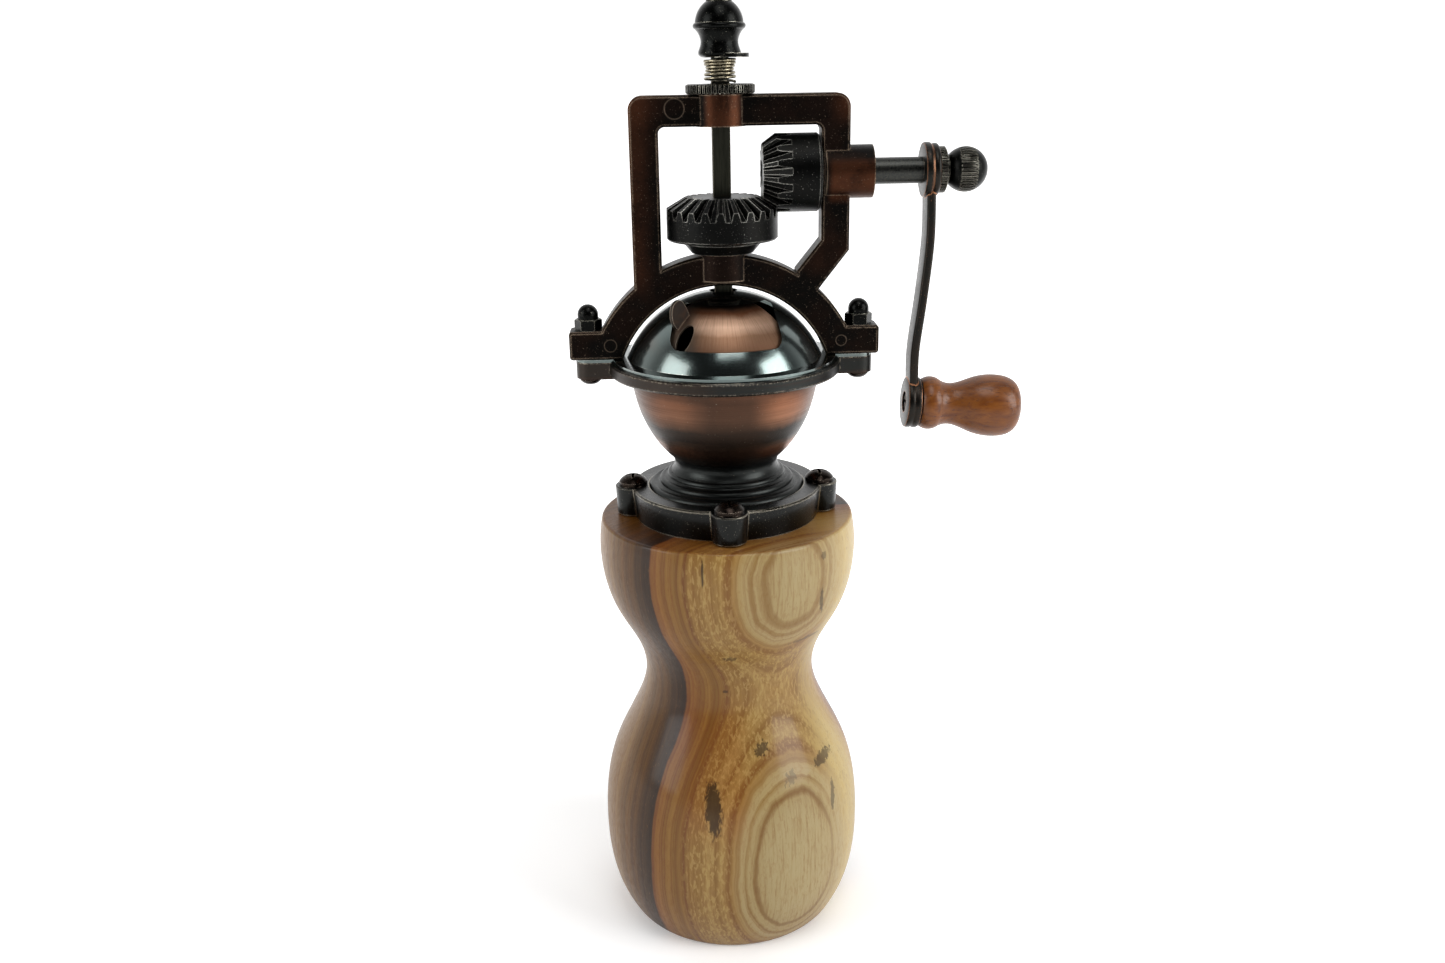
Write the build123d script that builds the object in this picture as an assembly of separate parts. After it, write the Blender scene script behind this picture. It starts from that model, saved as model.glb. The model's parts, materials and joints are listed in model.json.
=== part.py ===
from build123d import *
import math
import os

# Hand-crank burr mill: hourglass wooden body, dark antique-copper mechanism on top.
# Millimetres. Origin: centre of the body's foot, on the table. +Z up, crank towards +X, window towards -Y.

# ---- Driving dimensions ----------------------------------------------------------------------------
BODY_HEIGHT = 112.3          # turned wooden body
CHAMBER_R = 14.0             # bore that holds the beans
FOOT_RECESS_R = 20.5         # recess under the body for the burr set
FOOT_RECESS_DEPTH = 13.5

RING_TOP = 120.0             # mounting ring screwed to the body
RING_R = 24.1
RING_SEAT_R = 19.8           # seat for the bowl's foot
SPIGOT_R = 17.5              # bowl's spigot through the ring
EAR_RADIUS = 23.8            # screw circle of the ring's four ears
EAR_TURN = -1.0              # degrees the ears are turned from the frame's plane
RING_SCREW_R = 1.7
RING_SCREW_TIP = 97.0

NECK_R = 13.0                # neck of the hopper bowl
NECK_BORE_R = 11.3
RIM_R = 28.6
RIM_BOTTOM = 149.4
RIM_TOP = 152.5

BOLT_X = 33.3                # the two bolts that clamp frame, dome and bowl
BOLT_R = 1.5
SHEET = 0.8                  # thickness of the dome's hem

DOME_R = 26.0                # outside of the dome
DOME_CENTRE_Z = 143.5
DOME_SHEET = 0.7
DOOR_GAP = 0.25
DOOR_SHEET = 0.6
WINDOW_BOTTOM = 158.2
WINDOW_TOP = 167.3
TAB_AZIMUTH = -43.5          # door tab, measured from -Y towards +X

FRAME_DEPTH = 7.2            # cast frame
FRAME_FOOT = RIM_TOP + SHEET
FRAME_TOP = 215.2
FRAME_LEFT = -21.7
FRAME_RIGHT = 30.35
WINDOW_LEFT = -14.8
WINDOW_RIGHT = 23.6
FRAME_BAR_UNDERSIDE = 208.1
ARCH_CENTRE_Z = 144.4
ARCH_INNER_R = 26.5
ARCH_OUTER_R = 34.0
LUG_TOP = 160.3

CRANK_Z = 197.0              # crank axis crosses the spindle axis here
SHAFT_R = 3.12
SHAFT_END_R = 2.4
RUNNING_GAP = 0.05           # radial clearance of every running fit
FIT_GAP = 0.02               # radial clearance of screws and fixed pieces

SPINDLE_SIDE = 4.3           # square spindle with its corners turned down
SPINDLE_CORNER_R = 2.95
THREAD_R = 2.1

DRIVEN_TEETH = 23
DRIVE_TEETH = 15
DRIVEN_R = 13.4              # outside of the gear on the spindle
DRIVE_R = 9.2                # outside of the gear on the crank shaft
ADDENDUM = 0.65              # tooth height above and below the pitch cone, in modules
DEDENDUM = 0.85
BACKLASH = 0.06              # half of the play between the teeth, in modules
SET_SCREW_X = 20.0           # set screw in the crank gear's hub
SET_SCREW_R = 1.25

ARM_INNER_X = 48.07
ARM_OUTER_X = 51.75
ARM_WIDTH = 7.4
ARM_THICKNESS = 2.2
GRIP_X = 47.1                # centre of the arm's lower eye
GRIP_Z = 139.75
GRIP_TILT = 4.0              # degrees the grip's axis droops
LOWER_EYE_THICKNESS = 3.6
GRIP_SCREW_R = 1.6
GRIP_SCREW_HEAD_R = 2.6

SPRING_BOTTOM = 217.6        # spring between the thrust collar and the adjusting knob
SPRING_TOP = 223.4

BURR_BOTTOM = 12.0           # the burr set, inside the foot of the body
BURR_TOP = 24.0
STATOR_R = 13.0
SLEEVE_R = CHAMBER_R - FIT_GAP
SLEEVE_TOP = 30.0
FLANGE_SCREW_R = 1.25
FLANGE_SCREW_TIP = 22.0
FLANGE_SCREW_CIRCLE = 17.0


# ---- Helpers ---------------------------------------------------------------------------------------
def cylinder_z(radius, low, high, x=0.0, y=0.0):
    return Pos(x, y, low) * Cylinder(radius, high - low, align=(Align.CENTER, Align.CENTER, Align.MIN))


def cylinder_x(radius, low, high):
    """Cylinder on the crank axis."""
    body = Cylinder(radius, high - low, align=(Align.CENTER, Align.CENTER, Align.MIN))
    return Pos(low, 0, CRANK_Z) * Rot(0, 90, 0) * body


def turned(outline):
    """Revolve a closed outline of lines and arcs, drawn as (radius, height), about Z."""
    return revolve(Plane.XZ * make_face(outline), Axis.Z)


def turned_points(points):
    return turned(Polyline(*points, close=True))


def along_x(solid, start_x):
    """Lay a piece made along Z, from height 0, on the crank axis from start_x."""
    return Pos(start_x, 0, CRANK_Z) * Rot(0, 90, 0) * solid


def extruded_xz(sketch, depth):
    return extrude(Plane.XZ * sketch, amount=depth / 2, both=True)


def square_bar(side, low, high):
    return Pos(0, 0, low) * Box(side, side, high - low, align=(Align.CENTER, Align.CENTER, Align.MIN))


def phillips_cut(z, size=2.0, depth=1.2):
    blade = Box(2 * size, 0.75, 2 * depth)
    return Pos(0, 0, z) * (blade + Rot(0, 0, 90) * blade)


# ---- Wooden body -----------------------------------------------------------------------------------
def make_wood_body():
    top_round = 0.9
    side = Spline(
        (28.4, 0.8), (32.0, 8.5), (34.3, 26.0), (31.3, 46.0), (26.2, 56.8), (22.1, 69.5), (24.0, 78.4),
        (29.4, 88.4), (32.8, 102.0), (32.2, BODY_HEIGHT - top_round),
    )
    edge = ThreePointArc(side @ 1, (31.95, BODY_HEIGHT - 0.27), (31.3, BODY_HEIGHT))
    rest = Polyline(edge @ 1, (0, BODY_HEIGHT), (0, 0), (27.7, 0), side @ 0)
    body = turned(side + edge + rest)
    body -= cylinder_z(CHAMBER_R, 0, BODY_HEIGHT)
    body -= cylinder_z(FOOT_RECESS_R, 0, FOOT_RECESS_DEPTH)
    for quarter in range(4):
        pilot = cylinder_z(RING_SCREW_R + FIT_GAP, RING_SCREW_TIP - 1, BODY_HEIGHT, EAR_RADIUS)
        body -= Rot(0, 0, 90 * quarter + EAR_TURN) * pilot
    for third in range(3):
        pilot = cylinder_z(FLANGE_SCREW_R + FIT_GAP, FOOT_RECESS_DEPTH, FLANGE_SCREW_TIP + 1,
                           FLANGE_SCREW_CIRCLE)
        body -= Rot(0, 0, 120 * third + 60) * pilot
    return body


# ---- Mounting ring and its screws ------------------------------------------------------------------
def make_mounting_ring():
    ring = turned_points([
        (SPIGOT_R + FIT_GAP, BODY_HEIGHT), (RING_R - 0.8, BODY_HEIGHT), (RING_R, RING_TOP - 0.4),
        (RING_R - 0.4, RING_TOP), (RING_SEAT_R, RING_TOP), (RING_SEAT_R, RING_TOP - 0.8),
        (SPIGOT_R + FIT_GAP, RING_TOP - 0.8),
    ])
    ear_bottom = BODY_HEIGHT + 0.4
    ear = Cone(4.2, 4.6, RING_TOP - ear_bottom, align=(Align.CENTER, Align.CENTER, Align.MIN))
    ear = Pos(EAR_RADIUS, 0, ear_bottom) * ear
    ear = fillet(ear.faces().sort_by(Axis.Z)[-1].edges(), 0.35)
    for quarter in range(4):
        ring += Rot(0, 0, 90 * quarter + EAR_TURN) * ear
    bore = cylinder_z(SPIGOT_R + FIT_GAP, BODY_HEIGHT, RING_TOP)
    seat = cylinder_z(RING_SEAT_R, RING_TOP - 0.8, RING_TOP)
    ring -= bore + seat
    screw_hole = cylinder_z(RING_SCREW_R + FIT_GAP, BODY_HEIGHT, RING_TOP, EAR_RADIUS)
    for quarter in range(4):
        ring -= Rot(0, 0, 90 * quarter + EAR_TURN) * screw_hole
    return ring


def make_ring_screws():
    head_bottom = RING_TOP
    head_r = 3.6
    head_top = head_bottom + 2.6
    tip = 2.5
    flank = Polyline((0, RING_SCREW_TIP), (RING_SCREW_R, RING_SCREW_TIP + tip), (RING_SCREW_R, head_bottom),
                     (head_r, head_bottom), (head_r, head_bottom + 0.9))
    dome = ThreePointArc(flank @ 1, (2.2, head_top - 0.45), (0, head_top))
    screw = turned(flank + dome + Line(dome @ 1, flank @ 0))
    screw -= phillips_cut(head_top)
    return [Rot(0, 0, 90 * quarter + EAR_TURN) * Pos(EAR_RADIUS, 0, 0) * screw for quarter in range(4)]


# ---- Hopper bowl -----------------------------------------------------------------------------------
def bolt_ears(low, high, radius, reach_from):
    ears = Part()
    for side in (-1, 1):
        web = Pos(side * (BOLT_X + reach_from) / 2, 0, low) * Box(
            BOLT_X - reach_from, 2 * radius, high - low, align=(Align.CENTER, Align.CENTER, Align.MIN))
        ears += web + cylinder_z(radius, low, high, side * BOLT_X)
    return ears


def bolt_holes(low, high):
    return [cylinder_z(BOLT_R + RUNNING_GAP, low, high, side * BOLT_X) for side in (-1, 1)]


def make_bowl():
    foot = Polyline((NECK_BORE_R, BODY_HEIGHT), (SPIGOT_R, BODY_HEIGHT), (SPIGOT_R, RING_TOP - 0.8),
                    (19.7, RING_TOP - 0.8), (19.7, RING_TOP - 0.1))
    bead_low = ThreePointArc(foot @ 1, (19.3, RING_TOP + 0.6), (18.3, RING_TOP + 0.8))
    cove_low = ThreePointArc(bead_low @ 1, (17.5, RING_TOP + 0.75), (16.9, RING_TOP + 1.1))
    bead_mid = ThreePointArc(cove_low @ 1, (16.75, RING_TOP + 2.0), (15.9, RING_TOP + 2.35))
    cove_mid = ThreePointArc(bead_mid @ 1, (15.2, RING_TOP + 2.4), (14.8, RING_TOP + 2.8))
    bead_top = ThreePointArc(cove_mid @ 1, (14.75, RING_TOP + 3.5), (14.0, RING_TOP + 3.9))
    neck = ThreePointArc(bead_top @ 1, (NECK_R, RING_TOP + 6.2), (NECK_R + 1.2, RING_TOP + 8.5))
    shell = Spline(neck @ 1, (17.2, 131.9), (19.5, 135.6), (21.05, 139.0), (22.15, 142.5), (22.95, 146.0),
                   (23.6, RIM_BOTTOM))
    rim = Polyline(shell @ 1, (RIM_R - 0.4, RIM_BOTTOM), (RIM_R, RIM_BOTTOM + 0.4), (RIM_R, RIM_TOP - 0.4),
                   (RIM_R - 0.4, RIM_TOP), (22.2, RIM_TOP))
    inside = Spline(rim @ 1, (21.9, RIM_BOTTOM), (21.3, 146.0), (20.45, 142.5), (19.3, 139.0), (17.6, 135.6),
                    (15.0, 132.0), (NECK_BORE_R, 128.2))
    bowl = turned(foot + bead_low + cove_low + bead_mid + cove_mid + bead_top + neck + shell + rim + inside
                  + Line(inside @ 1, foot @ 0))
    bowl += bolt_ears(148.4, RIM_TOP, 3.4, 26.0)
    for hole in bolt_holes(148.0, RIM_TOP):
        bowl -= hole
    return bowl


# ---- Dome, with its hem clamped between the bowl and the frame -------------------------------------
def dome_height(radius, at_r):
    return DOME_CENTRE_Z + math.sqrt(radius ** 2 - at_r ** 2)


def dome_width(radius, at_z):
    return math.sqrt(radius ** 2 - (at_z - DOME_CENTRE_Z) ** 2)


def dome_outline(outer_r, inner_r, bottom, outer_bottom, eye_r):
    """Section of a domed sheet: its outside arc, the eye at the top, its inside arc."""
    outside = ThreePointArc((dome_width(outer_r, outer_bottom), outer_bottom),
                            (16.0, dome_height(outer_r, 16.0)),
                            (eye_r, dome_height(outer_r, eye_r)))
    inside = ThreePointArc((eye_r, dome_height(inner_r, eye_r)), (16.0, dome_height(inner_r, 16.0)),
                           (dome_width(inner_r, bottom), bottom))
    return outside + Line(outside @ 1, inside @ 0) + inside


def make_dome_shell():
    inner_r = DOME_R - DOME_SHEET
    hem_r = RIM_R - 1.1
    hem_top = RIM_TOP + SHEET
    section = dome_outline(DOME_R, inner_r, RIM_TOP, hem_top, 3.4)
    hem = Polyline((dome_width(inner_r, RIM_TOP), RIM_TOP), (hem_r, RIM_TOP), (hem_r, hem_top),
                   (dome_width(DOME_R, hem_top), hem_top))
    dome = turned(section + hem)
    dome += bolt_ears(RIM_TOP, hem_top, 3.2, 25.0)
    for hole in bolt_holes(RIM_TOP, hem_top):
        dome -= hole
    opening = Polyline((-13.9, WINDOW_BOTTOM), (13.6, WINDOW_BOTTOM), (11.3, WINDOW_TOP),
                       (-11.8, WINDOW_TOP),
                       close=True)
    opening = make_face(opening)
    opening = fillet(opening.vertices(), 2.0)
    dome -= Pos(0, -18, 0) * extruded_xz(opening, 28)
    return dome


# ---- Door: a second dome inside the first, turned by its tab ---------------------------------------
def make_door():
    outer_r = DOME_R - DOME_SHEET - DOOR_GAP
    inner_r = outer_r - DOOR_SHEET
    bottom = RIM_TOP + 0.15
    section = dome_outline(outer_r, inner_r, bottom, bottom, 3.6)
    section = section + Line((dome_width(inner_r, bottom), bottom), (dome_width(outer_r, bottom), bottom))
    first = -150.0           # the leaf starts just left of the tab, measured from +X
    leaf = revolve(Plane.XZ * make_face(section), Axis.Z, revolution_arc=112)
    leaf = Rot(0, 0, first) * leaf
    full = revolve(Plane.XZ * make_face(section), Axis.Z)
    hub = full & cylinder_z(7.0, RIM_TOP, DOME_CENTRE_Z + DOME_R)
    door = leaf + hub

    tab_outline = Polyline((17.1, 162.2), (12.9, 165.0), (12.6, 164.0), (16.4, 161.8))
    leaf_edge = Spline((17.1, 162.2), (18.5, 164.0), (18.9, 166.3), (18.0, 168.5), (16.2, 169.1),
                       (14.4, 167.8), (12.9, 165.0))
    tab_face = make_face(leaf_edge + Line((12.9, 165.0), (17.1, 162.2)))
    root_face = make_face(tab_outline + Line(tab_outline @ 1, tab_outline @ 0))
    tab = extruded_xz(tab_face + root_face, 0.8)
    door += Rot(0, 0, TAB_AZIMUTH - 90) * tab

    slot_azimuth = -33.0     # the leaf-shaped slot that the tab was bent out of
    slot = extrude(Ellipse(4.0, 1.9), amount=12)
    slot = Pos(0, 0, DOME_CENTRE_Z) * Rot(0, 0, slot_azimuth - 90) * Rot(0, 47, 0) * Pos(0, 0, 20) * slot
    return door - slot


# ---- Frame and its fastenings ----------------------------------------------------------------------
def make_frame():
    arch_centre = Pos(0, ARCH_CENTRE_Z)
    arch = arch_centre * Circle(ARCH_OUTER_R)
    upright = make_face(Polyline(
        (FRAME_LEFT, 160), (FRAME_LEFT, FRAME_TOP), (FRAME_RIGHT, FRAME_TOP), (FRAME_RIGHT, 178.8),
        (23.45, 170.0), (16.0, 160), close=True))
    opening = make_face(Polyline(
        (WINDOW_LEFT, 160), (WINDOW_LEFT, FRAME_BAR_UNDERSIDE), (WINDOW_RIGHT, FRAME_BAR_UNDERSIDE),
        (WINDOW_RIGHT, 181.3), (17.73, 174.0), (17.73, 160), close=True))
    upright = fillet(upright.vertices().sort_by(Axis.Y)[-2:], 3.2)
    opening = fillet(opening.vertices().sort_by(Axis.Y)[-2:], 1.5)
    opening -= arch_centre * Circle(ARCH_OUTER_R)
    lugs = Sketch()
    for side in (-1, 1):
        lug = Pos(side * 31.5, (FRAME_FOOT + LUG_TOP) / 2) * RectangleRounded(
            13.0, LUG_TOP - FRAME_FOOT, 0.8)
        lugs += lug
    outline = upright - opening + arch - arch_centre * Circle(ARCH_INNER_R)
    outline -= Pos(0, FRAME_FOOT) * Rectangle(100, 100, align=(Align.CENTER, Align.MAX))
    outline += lugs
    frame = extruded_xz(outline, FRAME_DEPTH)
    rims = frame.faces().filter_by(Axis.Y).edges()
    frame = chamfer(rims, 0.5)

    boss_r = 6.0
    frame += cylinder_z(boss_r, FRAME_BAR_UNDERSIDE - 0.1, FRAME_TOP)
    frame += cylinder_z(boss_r, 172.0, 178.5)
    frame += cylinder_x(6.25, 24.5, 36.0)
    frame -= cylinder_z(SPINDLE_CORNER_R + RUNNING_GAP, 160, 220)
    frame -= cylinder_x(SHAFT_R + RUNNING_GAP, 20, 40)
    frame -= arch_centre_cut()
    for hole in bolt_holes(FRAME_FOOT, LUG_TOP):
        frame -= hole
    return frame


def arch_centre_cut():
    """The round underside of the arch, cut through the lower boss too."""
    return Pos(0, 0, ARCH_CENTRE_Z) * Rot(90, 0, 0) * Cylinder(ARCH_INNER_R, 40)


def make_frame_bolts():
    head_top = 148.4
    bolt_top = 165.2
    flank = Polyline((0, bolt_top), (BOLT_R, bolt_top), (BOLT_R, head_top), (2.7, head_top),
                     (2.7, head_top - 0.5))
    crown = ThreePointArc(flank @ 1, (1.7, head_top - 1.45), (0, head_top - 1.7))
    bolt = turned(flank + crown + Line(crown @ 1, flank @ 0))
    bolt -= phillips_cut(head_top - 1.7, 1.4, 0.8)
    return [Pos(side * BOLT_X, 0, 0) * bolt for side in (-1, 1)]


def make_acorn_nuts():
    across_corners_r = 3.4
    hex_top = LUG_TOP + 2.7
    dome_r = 2.55
    dome_centre = 164.0
    nut = Pos(0, 0, LUG_TOP) * extrude(RegularPolygon(across_corners_r, 6), amount=hex_top - LUG_TOP)
    nut &= turned_points([(0, LUG_TOP), (3.1, LUG_TOP), (3.6, LUG_TOP + 0.4), (3.6, hex_top - 0.4),
                          (3.0, hex_top),
                          (0, hex_top)])
    nut += cylinder_z(dome_r, hex_top - 0.5, dome_centre) + Pos(0, 0, dome_centre) * Sphere(dome_r)
    nut -= cylinder_z(BOLT_R + FIT_GAP, LUG_TOP, 165.4)
    return [Pos(side * BOLT_X, 0, 0) * nut for side in (-1, 1)]


# ---- Bevel gears -----------------------------------------------------------------------------------
MODULE = 2 * DRIVEN_R / DRIVEN_TEETH
CONE_LENGTH = math.hypot(DRIVEN_R, DRIVEN_R * DRIVE_TEETH / DRIVEN_TEETH)
PRESSURE_ANGLE = math.radians(20)


def involute(angle):
    return math.tan(angle) - angle


def tooth_directions(teeth, pitch_angle):
    """Rays from the cone's apex along one flank, root to tip, as (angle from axis, half tooth angle)."""
    virtual_teeth = teeth / math.cos(pitch_angle)
    virtual_r = MODULE * virtual_teeth / 2
    base_r = virtual_r * math.cos(PRESSURE_ANGLE)
    rays = []
    for height in (-DEDENDUM, 0.0, ADDENDUM):
        r = virtual_r + height * MODULE
        pressure = math.acos(min(1.0, base_r / r))
        half = (math.pi / 2 - BACKLASH) / virtual_teeth + involute(PRESSURE_ANGLE) - involute(pressure)
        rays.append((pitch_angle + math.atan(height * MODULE / CONE_LENGTH), half / math.cos(pitch_angle)))
    return rays


def toothed_cone(teeth, pitch_angle, near, far, tooth_at_zero):
    """Straight-toothed cone about +Z with its apex at the origin, from height near to height far."""
    rays = tooth_directions(teeth, pitch_angle)
    offset = 0.0 if tooth_at_zero else math.pi / teeth
    faces = []
    for height in (near, far):
        points = []
        for tooth in range(teeth):
            centre = offset + 2 * math.pi * tooth / teeth
            flank = [(tilt, centre - half) for tilt, half in rays]
            flank += [(tilt, centre + half) for tilt, half in reversed(rays)]
            points += [(height * math.tan(tilt) * math.cos(a), height * math.tan(tilt) * math.sin(a), height)
                       for tilt, a in flank]
        faces.append(make_face(Polyline(*points, close=True)))
    return loft(faces, ruled=True)


def make_driven_gear():
    top = 191.8
    bottom = 178.6
    pitch_angle = math.atan2(DRIVEN_TEETH, DRIVE_TEETH)
    blank = turned_points([(0, bottom), (7.5, bottom), (9.5, 180.9), (9.5, 181.7), (DRIVEN_R - 0.4, 181.7),
                           (DRIVEN_R, 182.1), (DRIVEN_R, top), (0, top)])
    cone = toothed_cone(DRIVEN_TEETH, pitch_angle, CRANK_Z - top, CRANK_Z - bottom, True)
    gear = blank & (Pos(0, 0, CRANK_Z) * Rot(180, 0, 0) * cone)
    return gear - square_bar(SPINDLE_SIDE + 2 * RUNNING_GAP, bottom, top)


def make_drive_gear():
    near = 9.6
    far = 23.3
    pitch_angle = math.atan2(DRIVE_TEETH, DRIVEN_TEETH)
    blank = turned_points([(0, near), (DRIVE_R, near), (DRIVE_R, far - 0.6), (DRIVE_R - 0.6, far), (0, far)])
    gear = blank & toothed_cone(DRIVE_TEETH, pitch_angle, near, far, False)
    gear = along_x(gear, 0)
    gear -= cylinder_x(SHAFT_R + FIT_GAP, near, far)
    screw_hole = Pos(SET_SCREW_X, 0, CRANK_Z) * Rot(-90, 0, 0) * cylinder_z(SET_SCREW_R + FIT_GAP, 0, 12)
    return gear - screw_hole


def make_gear_set_screw():
    screw = cylinder_z(SET_SCREW_R, SHAFT_R + FIT_GAP, 8.4)
    screw -= Pos(0, 0, 7.4) * extrude(RegularPolygon(0.75, 6), amount=2)
    return Pos(SET_SCREW_X, 0, CRANK_Z) * Rot(-90, 0, 0) * screw


# ---- Crank -----------------------------------------------------------------------------------------
def make_crank_shaft():
    shaft = cylinder_x(SHAFT_R, 9.9, ARM_INNER_X)
    return shaft + cylinder_x(SHAFT_END_R, ARM_INNER_X, 59.4)


def grip_frame(piece):
    """Place a piece made along Z about the origin on the tilted grip axis."""
    return Pos(GRIP_X, 0, GRIP_Z) * Rot(0, 90 + GRIP_TILT, 0) * piece


def make_crank_arm():
    centre = [(49.95, 194.0), (50.05, 180.5), (48.75, 166.5), (47.2, 153.5), (47.1, 142.5)]
    half = ARM_THICKNESS / 2
    inner = Spline(*[(x - half, z) for x, z in centre])
    outer = Spline(*[(x + half, z) for x, z in reversed(centre)])
    strip = make_face(inner + Line(inner @ 1, outer @ 0) + outer + Line(outer @ 1, inner @ 0))
    arm = extruded_xz(strip, ARM_WIDTH)
    arm += cylinder_x(6.5, ARM_INNER_X, ARM_OUTER_X)
    half_eye = LOWER_EYE_THICKNESS / 2
    arm += grip_frame(cylinder_z(6.4, -half_eye, half_eye))
    arm -= cylinder_x(SHAFT_END_R + FIT_GAP, ARM_INNER_X - 1, ARM_OUTER_X + 1)
    arm -= grip_frame(cylinder_z(GRIP_SCREW_R + FIT_GAP, -half_eye - 1, half_eye + 1))
    arm -= grip_frame(cylinder_z(GRIP_SCREW_HEAD_R + FIT_GAP, -half_eye - 1, 0))
    return arm


def make_lock_nut():
    nut = cylinder_z(5.45, 0, 1.78)
    nut = chamfer(nut.edges().filter_by(GeomType.CIRCLE), 0.25)
    nut -= cylinder_z(SHAFT_END_R + FIT_GAP, -1, 3)
    return along_x(nut, ARM_OUTER_X)


def make_ball_nut():
    ball_r = 5.35
    centre = 4.95
    neck_r = 3.2
    start = centre - math.sqrt(ball_r ** 2 - neck_r ** 2)
    end_r = 1.8
    end = centre + math.sqrt(ball_r ** 2 - end_r ** 2)
    neck = Polyline((0, 0), (neck_r, 0), (neck_r, start))
    ball = ThreePointArc(neck @ 1, (ball_r, centre), (end_r, end))
    nut = turned(neck + ball + Polyline(ball @ 1, (0, end), neck @ 0))
    nut -= cylinder_z(SHAFT_END_R + FIT_GAP, 0, 6.2)
    return along_x(nut, ARM_OUTER_X + 1.8)


def make_handle_screw():
    screw = cylinder_z(GRIP_SCREW_R, -0.1, 22.0) + cylinder_z(GRIP_SCREW_HEAD_R, -1.4, 0)
    screw -= phillips_cut(-1.4, 1.5, 0.7)
    return grip_frame(screw)


def make_handle():
    face = 2.1               # the grip starts just clear of the arm's eye
    end = 27.4
    start = Polyline((0, face), (5.9, face))
    bead = ThreePointArc(start @ 1, (6.7, face + 2.4), (5.9, face + 4.7))
    belly = Spline(bead @ 1, (5.2, 9.5), (6.9, 15.0), (7.85, 20.8), (6.9, 25.1), (2.5, end))
    grip = turned(start + bead + belly + Polyline(belly @ 1, (0, end), start @ 0))
    grip -= cylinder_z(GRIP_SCREW_R + RUNNING_GAP, face - 1, 22.4)
    return grip_frame(grip)


# ---- Spindle, its collar, spring and adjusting knob -------------------------------------------------
def make_spindle():
    square = square_bar(SPINDLE_SIDE, BURR_BOTTOM, 218.2)
    square &= cylinder_z(SPINDLE_CORNER_R, BURR_BOTTOM, 218.2)
    return square + cylinder_z(THREAD_R, 217.0, 231.5) + cylinder_z(THREAD_R, 8.6, BURR_BOTTOM + 1)


def make_thrust_collar():
    collar = cylinder_z(8.17, 0, 2.25)
    collar = chamfer(collar.edges().filter_by(GeomType.CIRCLE), 0.3)
    collar -= square_bar(SPINDLE_SIDE + 2 * RUNNING_GAP, -1, 4)
    return Pos(0, 0, FRAME_TOP + 0.1) * collar


def make_knob_spring():
    wire_r = 0.32
    mean_r = 3.55
    pitch = 0.83
    height = SPRING_TOP - SPRING_BOTTOM - 2 * wire_r - 0.06
    path = Helix(pitch, height, mean_r)
    section = Plane(origin=path @ 0, z_dir=path % 0) * Circle(wire_r)
    coil = sweep(section, path=path, is_frenet=True)
    return Pos(0, 0, SPRING_BOTTOM + wire_r + 0.03) * coil


def make_adjust_knob():
    base = SPRING_TOP
    low = Spline((3.8, base), (4.95, base + 1.1), (4.7, base + 1.9), (4.35, 226.6), (4.7, 228.3),
                 (5.6, 229.6))
    bead = ThreePointArc(low @ 1, (6.1, 230.3), (5.6, 231.0))
    crown = ThreePointArc(bead @ 1, (4.95, 233.4), (3.0, 235.6))
    button = Polyline(crown @ 1, (2.8, 237.0), (2.2, 237.8), (0, 238.1), (0, base), (3.8, base))
    knob = turned(low + bead + crown + button)
    knob += cylinder_z(4.9, base, base + 0.9, 1.9)     # the knob's off-centre flange, its pointer
    return knob - cylinder_z(THREAD_R + RUNNING_GAP, base - 1, 233.2)


# ---- Burr set in the foot of the body ---------------------------------------------------------------
def make_burr_housing():
    housing = turned_points([
        (STATOR_R + FIT_GAP, BURR_BOTTOM), (FOOT_RECESS_R - 0.3, BURR_BOTTOM),
        (FOOT_RECESS_R - 0.3, FOOT_RECESS_DEPTH), (SLEEVE_R, FOOT_RECESS_DEPTH), (SLEEVE_R, SLEEVE_TOP),
        (STATOR_R + FIT_GAP, SLEEVE_TOP),
    ])
    for third in range(3):
        hole = cylinder_z(FLANGE_SCREW_R + FIT_GAP, BURR_BOTTOM, FOOT_RECESS_DEPTH, FLANGE_SCREW_CIRCLE)
        housing -= Rot(0, 0, 120 * third + 60) * hole
    return housing


def make_housing_screws():
    flank = Polyline((0, FLANGE_SCREW_TIP), (FLANGE_SCREW_R, FLANGE_SCREW_TIP - 2),
                     (FLANGE_SCREW_R, BURR_BOTTOM),
                     (2.4, BURR_BOTTOM), (2.4, BURR_BOTTOM - 0.5))
    crown = ThreePointArc(flank @ 1, (1.5, BURR_BOTTOM - 1.4), (0, BURR_BOTTOM - 1.6))
    screw = turned(flank + crown + Line(crown @ 1, flank @ 0))
    screw -= phillips_cut(BURR_BOTTOM - 1.6, 1.3, 0.8)
    return [Rot(0, 0, 120 * third + 60) * Pos(FLANGE_SCREW_CIRCLE, 0, 0) * screw for third in range(3)]


def make_stator_burr():
    bottom = BURR_BOTTOM + 0.5
    ring = turned_points([(10.6, bottom), (STATOR_R, bottom), (STATOR_R, BURR_TOP), (6.6, BURR_TOP)])
    grooves = 18
    blade = Pos(0, 0, BURR_BOTTOM) * Box(2.6, 0.9, 14, align=(Align.MIN, Align.CENTER, Align.MIN))
    blade = Pos(9.6, 0, 0) * Pos(0, 0, BURR_BOTTOM) * Rot(0, -18.4, 0) * Pos(0, 0, -BURR_BOTTOM) * blade
    for step in range(grooves):
        ring -= Rot(0, 0, 360 * step / grooves) * blade
    return ring


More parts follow.
